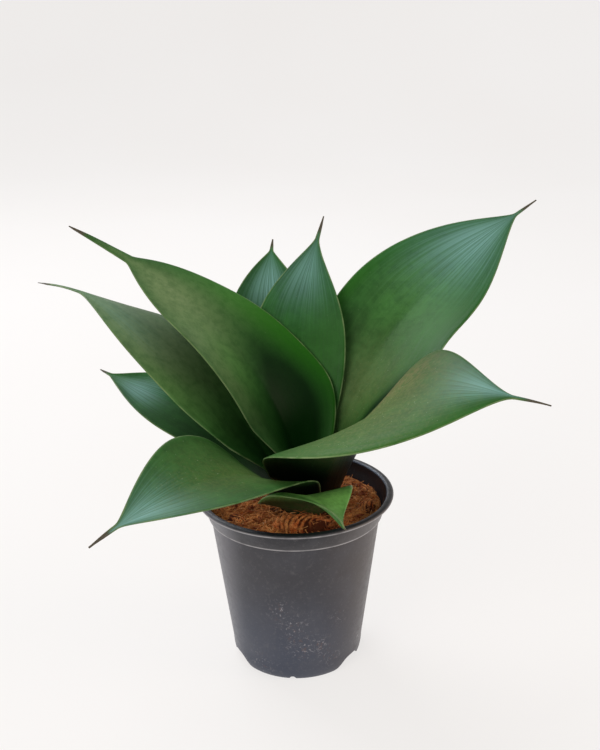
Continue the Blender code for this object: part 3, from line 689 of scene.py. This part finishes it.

#   rank       how many leaves out from the rosette's heart its foot stands
#   length     foot to the end of the blade;  spine  the tapered tip beyond it
#   width      widest flat width;  foot_width  width at the foot
#   neck       width where the spine starts
#   widest     where the blade is widest, as a share of the length
#   full       how full the outline stays past the widest place
#   sharp      how hollow it is at the tip
#   heading    compass angle at the foot and at the tip (0 right, 90 back, 180 left)
#   rise       angle above the horizontal at the foot, the middle and the tip
#   roll       turn about the midrib at the foot, the middle and the tip
#   cup        how far the margins fold up, past the foot and at the tip
#   flare_left, flare_right   how far a margin turns back down, at the foot, the middle and the tip
#   lobe       extra width of the right half low on the leaf, as a share of that half's width
#   green      how much of the spine is still green; the rest is dry horn
#     marks      patches painted on the skin (painted light and shade, dust and rust): kind, middle
#                along (0 foot to 1 tip) and across (-1 right to 1 left), reach along and across,
#                strength
LEAVES = {
    "leaf_inner_left": dict(
        rank=0, length=166, spine=36, green=0.72, width=72, foot_width=11, neck=7.2,
        widest=0.36, full=3.0, sharp=0.90, heading=(151, 172), rise=(85, 44, 26),
        roll=(-36, -7, -29), cup=(37, -13),
        flare_left=(8, 2, 6), flare_right=(-11, 4, 3),
        marks=[("shade", 0.14, -0.15, 0.20, 0.75, 1.0), ("shade", 0.28, -0.35, 0.18, 0.34, 1.0),
               ("lit", 0.42, -0.86, 0.26, 0.35, 1.0), ("lit", 0.22, -0.98, 0.18, 0.10, 0.9),
               ("painted_light", 0.58, -0.80, 0.14, 0.40, 0.10), ("painted_light", 0.46, 0.36, 0.14, 0.40, 0.2),
               ("film_and_sheen", 0.68, 0.20, 0.20, 0.70, 1.0), ("film_and_sheen", 0.40, 0.80, 0.20, 0.30, 0.5)]),
    "leaf_upright": dict(
        rank=1, length=147, spine=12, width=52, foot_width=13, neck=1.7,
        widest=0.54, sharp=1.33, heading=(106, 52), rise=(78, 56, 62),
        roll=(7, 5, -1), cup=(19, 17),
        marks=[("painted_sheen", 0.80, 0.1, 0.12, 0.8, 0.8), ("shade", 0.10, 0.0, 0.20, 1.2, 0.5),
               ("lit", 0.45, -0.6, 0.30, 0.6, 0.5)]),
    "leaf_outer_left": dict(
        rank=2, length=166, spine=25, green=0.66, width=64, foot_width=25, neck=5.5,
        widest=0.52, full=2.5, sharp=1.21, heading=(172, 157), rise=(60, 43, -3),
        roll=(-19, -9, 24), cup=(11, -17),
        flare_left=(0, 9, 0), flare_right=(-5, 10, 4),
        marks=[("film_and_sheen", 0.66, 0.2, 0.24, 0.9, 1.2), ("painted_sheen", 0.72, 0.2, 0.14, 0.6, 0.35),
               ("shade", 0.14, -0.7, 0.26, 0.45, 1.0), ("painted_light", 0.42, 0.7, 0.12, 0.4, 0.3),
               ("lit", 0.92, 0.0, 0.08, 1.0, 0.5)]),
    "leaf_tall_right": dict(
        rank=3, length=199, spine=14, width=78, foot_width=29, neck=1.3,
        widest=0.49, sharp=1.23, heading=(45, 19), rise=(77, 40, 29),
        roll=(-24, 16, 43), cup=(39, 3), lobe=0.45,
        flare_right=(-7, 1, 4),
        marks=[("painted_sheen", 0.80, 0.1, 0.15, 0.8, 1.0), ("painted_light", 0.58, 0.1, 0.14, 0.6, 0.18),
               ("lit", 0.50, -0.9, 0.26, 0.5, 1.0), ("dust", 0.28, -0.2, 0.14, 0.6, 0.6),
               ("film_and_sheen", 0.28, 0.1, 0.12, 0.5, 0.4), ("lit", 0.45, 0.95, 0.35, 0.12, 0.7),
               ("shade", 0.50, -1.0, 0.20, 0.25, 0.4), ("shade", 0.08, 0.4, 0.08, 0.8, 0.7),
               ("shade", 0.28, -0.92, 0.09, 0.30, 2.2)]),
    "leaf_back": dict(
        rank=4, length=144, spine=7, width=52, foot_width=26, neck=1.3,
        widest=0.56, sharp=1.08, heading=(115, 80), rise=(68, 51, 48),
        roll=(0, 0, 0), cup=(26, 18),
        marks=[("painted_sheen", 0.80, 0.0, 0.14, 0.6, 1.0), ("lit", 0.94, -0.3, 0.08, 0.6, 0.5),
               ("shade", 0.20, 0.0, 0.30, 1.2, 0.7)]),
    "leaf_flared_right": dict(
        rank=4, length=180, spine=14, width=86, foot_width=43, neck=1.2,
        widest=0.54, sharp=1.58, heading=(-78, -22), rise=(59, 38, -11),
        roll=(-5, 17, 35), cup=(47, -18),
        flare_left=(-4, 11, 0), flare_right=(77, 24, 1),
        marks=[("rust", 0.48, 0.55, 0.18, 0.45, 1.0), ("rust", 0.36, 0.0, 0.12, 0.4, 0.7),
               ("dust", 0.55, -0.2, 0.24, 0.9, 1.0), ("painted_sheen", 0.86, 0.3, 0.10, 0.6, 0.9),
               ("lit", 0.62, -0.9, 0.3, 0.35, 0.6)]),
    "leaf_low_left": dict(
        rank=5, length=124, spine=6, width=47, foot_width=16, neck=1.6,
        widest=0.50, sharp=1.18, heading=(161, 149), rise=(60, 22, 15),
        roll=(-4, -20, -8), cup=(23, 14),
        marks=[("painted_sheen", 0.78, 0.1, 0.10, 0.6, 0.9), ("shade", 0.36, 0.0, 0.24, 1.2, 0.9)]),
    "leaf_front_left": dict(
        rank=6, length=148, spine=14, width=59, foot_width=28, neck=1.4,
        widest=0.48, sharp=1.25, heading=(245, 219), rise=(58, 16, -22),
        roll=(9, -14, -30), cup=(23, 21),
        marks=[("dust", 0.42, 0.0, 0.35, 0.8, 0.7), ("painted_sheen", 0.86, 0.1, 0.13, 0.8, 1.2),
               ("rust", 0.12, 0.3, 0.14, 0.5, 0.6), ("painted_light", 0.55, -0.75, 0.25, 0.3, 0.1)]),
    "leaf_small_front": dict(
        rank=7.23, length=72, spine=1, width=48, foot_width=15, neck=1.2,
        widest=0.37, sharp=1.12, heading=(-98, -41), rise=(62, 22, -40),
        roll=(-1, -5, -55), cup=(4, 31),
        flare_left=(3, 7, -1), flare_right=(-10, 50, -1),
        marks=[("painted_light", 0.62, 0.3, 0.32, 1.3, 1.0), ("rust", 0.08, 0.0, 0.22, 2.0, 1.0)]),
}
# Of these kinds, shade, lit, the blue-white sheen streaks, the grey-green sheen and the bright
# painted light are painted light and shade; dust and rust are the skin's own.
MARKS = ("shade", "lit", "painted_sheen", "film_and_sheen", "dust", "rust", "painted_light")


def through(values, t):
    """The parabola through three values, at t = 0, 1/2 and 1."""
    start, middle, end = values
    return start * (1 - t) * (1 - 2 * t) + middle * 4 * t * (1 - t) + end * t * (2 * t - 1)


def foot_radius(leaf):
    return HEART_RADIUS + leaf["rank"] * (LEAF_THICKNESS + LEAF_SPACING)


def half_width(leaf, along):
    """Half the flat width, at a share of the blade's length. Past 1 is the spine."""
    tip = 1 + leaf["spine"] / leaf["length"]
    past = min(max((along - leaf["widest"]) / (1 - leaf["widest"]), 0.0), 1.0)
    if along < leaf["widest"]:
        foot = leaf["foot_width"] / leaf["width"]
        share = foot + (1 - foot) * math.sin(math.pi / 2 * along / leaf["widest"]) ** 1.3
    else:
        share = (1 - past ** leaf.get("full", FULL)) ** leaf["sharp"]
    left = min(max((tip - along) / (tip - 1), 0.0), 1.0)
    neck = leaf["neck"] / 2 * left ** 0.8 * past ** 2
    return math.hypot(leaf["width"] / 2 * share, neck, SPINE_TIP_WIDTH / 2)


def midrib(leaf):
    """The midrib's points, and at each the leftward and upward-face directions."""
    reach = leaf["length"] + leaf["spine"]
    frames = []
    for i in range(LEAF_ROWS + 1):
        t = i / LEAF_ROWS
        first, last = leaf["heading"]
        heading = math.radians(first + (last - first) * t ** 1.3)
        rise = math.radians(through(leaf["rise"], t))
        roll = math.radians(through(leaf["roll"], t) * min(1, t / 0.25))
        along = Vector((math.cos(rise) * math.cos(heading),
                        math.cos(rise) * math.sin(heading), math.sin(rise)))
        left = Vector((-math.sin(heading), math.cos(heading), 0))
        face = along.cross(left)
        frames.append((along, left * math.cos(roll) + face * math.sin(roll),
                       face * math.cos(roll) - left * math.sin(roll)))
    heading = math.radians(leaf["heading"][0])
    radius = foot_radius(leaf)
    point = Vector((CROWN_X + radius * math.cos(heading),
                    CROWN_Y + radius * math.sin(heading), ROOT_TOP + GAP))
    points = [point]
    for before, after in zip(frames, frames[1:]):
        point = point + (before[0] + after[0]) / 2 * reach / LEAF_ROWS
        points.append(point)
    return points, frames


def cross_section(leaf, t, side):
    """One half of the cross-section, midrib to margin, as (sideways, upward) distances."""
    width = half_width(leaf, t * (1 + leaf["spine"] / leaf["length"]))
    if side == "right":
        width *= 1 + leaf.get("lobe", 0) * math.exp(-((t - LOBE_PLACE) / LOBE_REACH) ** 2)
    clasp = min(math.degrees(half_width(leaf, 0) / foot_radius(leaf)), 100)
    foot_share = math.exp(-t / 0.14)
    blade_cup = leaf["cup"][0] + (leaf["cup"][1] - leaf["cup"][0]) * t
    cup = math.radians(clasp * foot_share + blade_cup * (1 - foot_share))
    crease = CREASE * (1 - foot_share)
    flare = through(leaf.get(f"flare_{side}", (0, 0, 0)), t) * min(1, t / 0.12)
    sideways = upward = 0.0
    points = [(0.0, 0.0)]
    for i in range(LEAF_COLUMNS):
        share = (i + 0.5) / LEAF_COLUMNS
        slope = cup * (crease + (1 - crease) * share) - math.radians(flare) * share ** 3
        sideways += width / LEAF_COLUMNS * math.cos(slope)
        upward += width / LEAF_COLUMNS * math.sin(slope)
        points.append((sideways, upward))
    return points


def upper_face(leaf, seed):
    """The upper face as a grid of points, with the slight waves of a grown blade."""
    points, frames = midrib(leaf)
    grid = []
    for i, (point, (_, left, face)) in enumerate(zip(points, frames)):
        t = i / LEAF_ROWS
        halves = {side: cross_section(leaf, t, side) for side in ("left", "right")}
        row = [point - left * s + face * u for s, u in reversed(halves["right"])]
        row += [point + left * s + face * u for s, u in halves["left"][1:]]
        for j in range(len(row)):
            across = j / LEAF_COLUMNS - 1
            wave = noise.noise(Vector((t * 5, across * 1.2, seed))) * abs(across) ** 1.5
            row[j] = row[j] + face * WAVE * wave * smooth(t, 0.1, 0.3) * smooth(t, 1.0, 0.8)
        grid.append(row)
    return grid


def leaf_mesh(name, leaf, seed):
    """A closed blade from its upper face, thick at the midrib, with its marks as attributes."""
    grid = upper_face(leaf, seed)
    last = LEAF_COLUMNS * 2
    rings = []
    dry_from = 1 + (leaf.get("green", GREEN) * leaf["spine"] - 1.5) / leaf["length"]
    floats = {label: [] for label in ("across", "along", "from_margin", "horn", "under", *MARKS)}
    for i, row in enumerate(grid):
        t = i / LEAF_ROWS
        share_along = t * (1 + leaf["spine"] / leaf["length"])
        width = half_width(leaf, share_along)
        rib = min(LEAF_THICKNESS * (1 - 0.5 * t), 1.2 * width)
        margin = min(MARGIN_THICKNESS, rib)
        after, before = grid[min(i + 1, LEAF_ROWS)], grid[max(i - 1, 0)]
        under = []
        for j, point in enumerate(row):
            sideways = row[min(j + 1, last)] - row[max(j - 1, 0)]
            normal = (after[j] - before[j]).cross(sideways).normalized()
            share = abs(j - LEAF_COLUMNS) / LEAF_COLUMNS
            under.append(point - normal * (margin + (rib - margin) * (1 - share ** 2)))
        edges = []
        for j, inner in ((last, last - 1), (0, 1)):
            out = (row[j] - row[inner]).normalized()
            edges.append((row[j] + under[j]) / 2 + out * margin * 0.55)
        rings.append([*row, edges[0], *reversed(under), edges[1]])
        for k in range(len(rings[-1])):
            j = min(k, last) if k <= last + 1 else max(2 * last + 2 - k, 0)
            across = j / LEAF_COLUMNS - 1
            on_edge = k in (last + 1, len(rings[-1]) - 1)
            floats["across"].append(across)
            floats["along"].append(t)
            floats["from_margin"].append(0.0 if on_edge else (1 - abs(across)) * width)
            floats["horn"].append(smooth(share_along, dry_from, dry_from + 0.025))
            floats["under"].append(1.0 if k > last + 1 and not on_edge else 0.0)
            for kind in MARKS:
                total = 0.0
                for mark, at, side, long, wide, strength in leaf["marks"]:
                    if mark == kind:
                        away = ((t - at) / long) ** 2 + ((across - side) / wide) ** 2
                        total += strength * math.exp(-away)
                floats[kind].append(min(total, 1.0))
    axis = (grid[1][LEAF_COLUMNS] - grid[0][LEAF_COLUMNS]).normalized()
    rings[0] = [p + axis * ((ROOT_TOP - 0.4 - p.z) / axis.z) for p in rings[0]]
    mesh = grid_mesh(name, rings, **floats)
    bm = bmesh.new()
    bm.from_mesh(mesh)
    bm.verts.ensure_lookup_table()
    ring = len(rings[0])
    for start in (0, LEAF_ROWS * ring):
        bm.faces.new([bm.verts[start + k] for k in range(ring)])
    bmesh.ops.recalc_face_normals(bm, faces=bm.faces)
    bm.to_mesh(mesh)
    bm.free()
    return mesh


# Leaf skin: a thick waxy cuticle over green flesh. It gives a soft gloss, dust in the old leaves'
# hollows, and a thin pale margin; the spine's end is dry brown horn. Painted into its colour: a
# blue-white sheen of reflected sky in streaks along the veins, grey-green painted sheen, painted
# light where a blade glows bright green, painted shade patches, painted shade on the undersides,
# and painted shadow, near black, where the leaves overlap near their feet.
VEINS = 44            # from margin to margin; the widest blade is 86 mm, so about 2 mm apart
skin, tree, shader = new_material("waxy_leaf_skin", IOR=1.42, Specular_IOR_Level=0.13)
place = add_node(tree, "ShaderNodeTexCoord").outputs["Object"]
across, along, under, from_margin, horn, dust, rust = (
    add_node(tree, "ShaderNodeAttribute", attribute_name=mark).outputs["Fac"]
    for mark in ("across", "along", "under", "from_margin", "horn", "dust", "rust"))
# Noise drawn out along the leaf makes the veins' streaks.
drawn_out, underside, horny = (
    add_node(tree, "ShaderNodeMath", {0: value, 1: times}, operation="MULTIPLY").outputs[0]
    for value, times in ((along, 0.08), (under, 0.4), (horn, 0.95)))
vein_place = add_node(tree, "ShaderNodeCombineXYZ", {0: across, 1: drawn_out}).outputs[0]
streak, broad = (
    add_node(tree, "ShaderNodeTexNoise", {
        "Vector": vein_place, "Scale": VEINS / spread, "Detail": detail,
        "Roughness": roughness, "Distortion": distortion}).outputs[0]
    for spread, detail, roughness, distortion in ((2.0, 4.0, 0.6, 0.1), (9.0, 2.0, 0.5, 0.0)))
blotch = mottle(tree, place, 16, 3, 0.5)
patch = mottle(tree, place, 5, 4, 0.65)
fleck = mottle(tree, place, 1.6, 4, 0.7)
gritty = add_node(tree, "ShaderNodeMath", {0: dust, 1: 0.7, 2: 0.08},
                  operation="MULTIPLY_ADD").outputs[0]
margin = showing(tree, from_margin, 0.50, 0.10)
overlap_shadow = showing(tree, along, 0.42, 0.15, within=under)
colour = coated(tree, linear("#1f491b"), [
    (showing(tree, blotch, 0.3, 0.7), "#2a5b25"),
    (showing(tree, broad, 0.3, 0.7, 0, 0.35), "#2f6628"),
    (showing(tree, streak, 0.48, 0.72, 0, 0.22), "#457a38"),
    (showing(tree, patch, 0.40, 0.66, 0, 0.32), "#153a12"),
    # Painted light: saturated green where a blade glows with light through it.
    (showing(tree, streak, 0.25, 0.65, 0.80, 1.0, "lit"), "#22600e"),
    # Painted light: bright green where a blade lies in shade.
    (showing(tree, patch, 0.75, 0.35, 0.55, 1.0, "painted_light"), "#80bf62"),
    # Painted sheen: grey-green patches of reflected sky.
    (showing(tree, patch, 0.70, 0.35, 0.60, 1.0, "film_and_sheen"), "#6f8558"),
    # Painted reflection: blue-white streaks of reflected sky along the veins.
    (showing(tree, streak, 0.36, 0.64, 0.50, 1.0, "painted_sheen"), "#76a39c"),
    (showing(tree, mottle(tree, place, 2.6, 4, 0.75), 0.38, 0.60, 0.15, 1.0, rust), "#76694a"),
    (showing(tree, fleck, 0.38, 0.68, 0.30, 0.75, dust), "#6a7641"),
    (showing(tree, mottle(tree, place, 0.9, 2, 0.5), 0.70, 0.76, within=gritty), "#b4bfa4"),
    # Painted shade patches.
    (showing(tree, blotch, 0.2, 0.8, 0.9, 1.0, "shade"), "#042404"),
    # Painted shade on the undersides.
    (underside, "#16301a"),
    # Painted shadow, near black, on the undersides near the feet where the leaves overlap, less
    # where rust is.
    (showing(tree, rust, 0.9, 0.3, within=overlap_shadow), "#030804"),
    (showing(tree, mottle(tree, place, 9, 2), 0.3, 0.65, 0.12, 0.6, margin), "#7f9164"),
    (horny, coated(tree, linear("#332d27"), [(fleck, "#665b4e")])),
])
tree.links.new(colour, shader.inputs["Base Color"])
soiled = add_node(tree, "ShaderNodeMath", {0: dust, 1: rust}, operation="ADD").outputs[0]
rough = add_node(tree, "ShaderNodeMath", {
    0: soiled, 1: 0.20, 2: showing(tree, streak, 0.3, 0.7, 0.36, 0.46)}, operation="MULTIPLY_ADD")
tree.links.new(rough.outputs[0], shader.inputs["Roughness"])
ribs = add_node(tree, "ShaderNodeMath", {0: fleck, 1: 0.25, 2: streak}, operation="MULTIPLY_ADD")
bump = add_node(tree, "ShaderNodeBump", {
    "Height": ribs.outputs[0], "Strength": 0.22, "Distance": 0.0005})
tree.links.new(bump.outputs[0], shader.inputs["Normal"])

for seed, (name, leaf) in enumerate(LEAVES.items()):
    blade_mesh = leaf_mesh(name + "_blade", leaf, seed * 3.7)
    blade = finish_mesh(name + "_blade", blade_mesh, skin, "leaf", name)
    blade.data.set_sharp_from_angle(angle=math.radians(60))

# ---- studio ----------------------------------------------------------------------------------
# A plain pale floor that curves up all round into a wall, a broad soft light behind and above, a
# weaker one from the front left, a faint warm one from the right, and a pale room overhead.
FLOOR_RADIUS = 1600        # of the floor's flat middle
FLOOR_CURVE = 800          # radius of the curve between the floor and the wall
WALL_HEIGHT = 2600
FLOOR_SIDES = 96
floor_line = [(AXIS, 0), *[(FLOOR_RADIUS * i / 8, 0) for i in range(1, 8)]]
floor_line += [(FLOOR_RADIUS + FLOOR_CURVE * math.sin(math.radians(a)),
                FLOOR_CURVE * (1 - math.cos(math.radians(a)))) for a in range(0, 91, 6)]
floor_line += [(FLOOR_RADIUS + FLOOR_CURVE, WALL_HEIGHT)]
floor_turns = [2 * math.pi * i / FLOOR_SIDES for i in range(FLOOR_SIDES)]
rows = [[(r * math.cos(a), r * math.sin(a), z) for a in floor_turns] for r, z in floor_line]
floor_mesh = grid_mesh("studio_floor", rows)
close_poles(floor_mesh)
floor_mesh.flip_normals()
floor_mesh.transform(Matrix.Scale(0.001, 4))
floor_mesh.shade_smooth()
# Matt backdrop paper that glows a little, so that it stays pale; it is greyer up the wall.
paper, tree, shader = new_material("backdrop_paper", Roughness=0.9, Specular_IOR_Level=0.1)
place = add_node(tree, "ShaderNodeTexCoord").outputs["Object"]
height = add_node(tree, "ShaderNodeSeparateXYZ", {0: place}).outputs["Z"]
pale = coated(tree, linear("#f1eeec"), [
    (mottle(tree, place, 600, 2), "#f6f5f5"),
    (showing(tree, height, 0.35, 1.5), "#aeadac"),
])
shader.inputs["Base Color"].default_value = linear("#7c7a78")
tree.links.new(pale, shader.inputs["Emission Color"])
shader.inputs["Emission Strength"].default_value = 0.80
floor_mesh.materials.append(paper)
floor = bpy.data.objects.new("studio_floor", floor_mesh)
bpy.context.scene.collection.objects.link(floor)

world = bpy.data.worlds.new("studio_room")
world.use_nodes = True
world.node_tree.nodes["Background"].inputs["Color"].default_value = linear("#f3f1ee")
world.node_tree.nodes["Background"].inputs["Strength"].default_value = 0.42
bpy.context.scene.world = world

# name: place, what it faces, size across, watts, colour
LIGHTS = {
    "back_window": ((-0.55, 0.85, 1.15), (0, 0, 0.12), 0.9, 15, "#f4f8ff"),
    "front_fill": ((-0.75, -1.0, 0.85), (0, 0, 0.10), 0.8, 8, "#fffaf2"),
    "right_warm": ((1.1, -0.25, 0.45), (0, 0, 0.07), 0.5, 4, "#ffe9d2"),
}
for name, (position, target, size, watts, tint) in LIGHTS.items():
    lamp = bpy.data.lights.new(name, "AREA")
    lamp.shape = "SQUARE"
    lamp.size = size
    lamp.energy = watts
    lamp.color = linear(tint)[:3]
    holder = bpy.data.objects.new(name, lamp)
    holder.location = position
    holder.rotation_euler = (Vector(target) - Vector(position)).to_track_quat("-Z", "Y").to_euler()
    bpy.context.scene.collection.objects.link(holder)
bpy.context.scene.view_settings.view_transform = "Standard"

# ---- camera ----------------------------------------------------------------------------------
# It stands a little over half a metre in front, at about a third of a metre up, and looks down.
CAMERA_PLACE = Vector((0.0012, -0.5215, 0.3467))
CAMERA_PITCH = math.radians(19.71)      # below the horizon
CAMERA_YAW = math.radians(0.26)
CAMERA_ROLL = math.radians(-0.90)
ahead = Vector((math.sin(CAMERA_YAW) * math.cos(CAMERA_PITCH),
                math.cos(CAMERA_YAW) * math.cos(CAMERA_PITCH), -math.sin(CAMERA_PITCH)))
level = Vector((math.cos(CAMERA_YAW), -math.sin(CAMERA_YAW), 0))
upright = level.cross(ahead)
right = level * math.cos(CAMERA_ROLL) + upright * math.sin(CAMERA_ROLL)
top_side = -level * math.sin(CAMERA_ROLL) + upright * math.cos(CAMERA_ROLL)
lens = bpy.data.cameras.new("camera")
lens.lens = 52
lens.sensor_width = 36
lens.clip_start = 0.05
lens.clip_end = 20
camera = bpy.data.objects.new("camera", lens)
turned = Matrix((right, top_side, -ahead)).transposed().to_4x4()
camera.matrix_world = Matrix.Translation(CAMERA_PLACE) @ turned
bpy.context.scene.collection.objects.link(camera)
bpy.context.scene.camera = camera
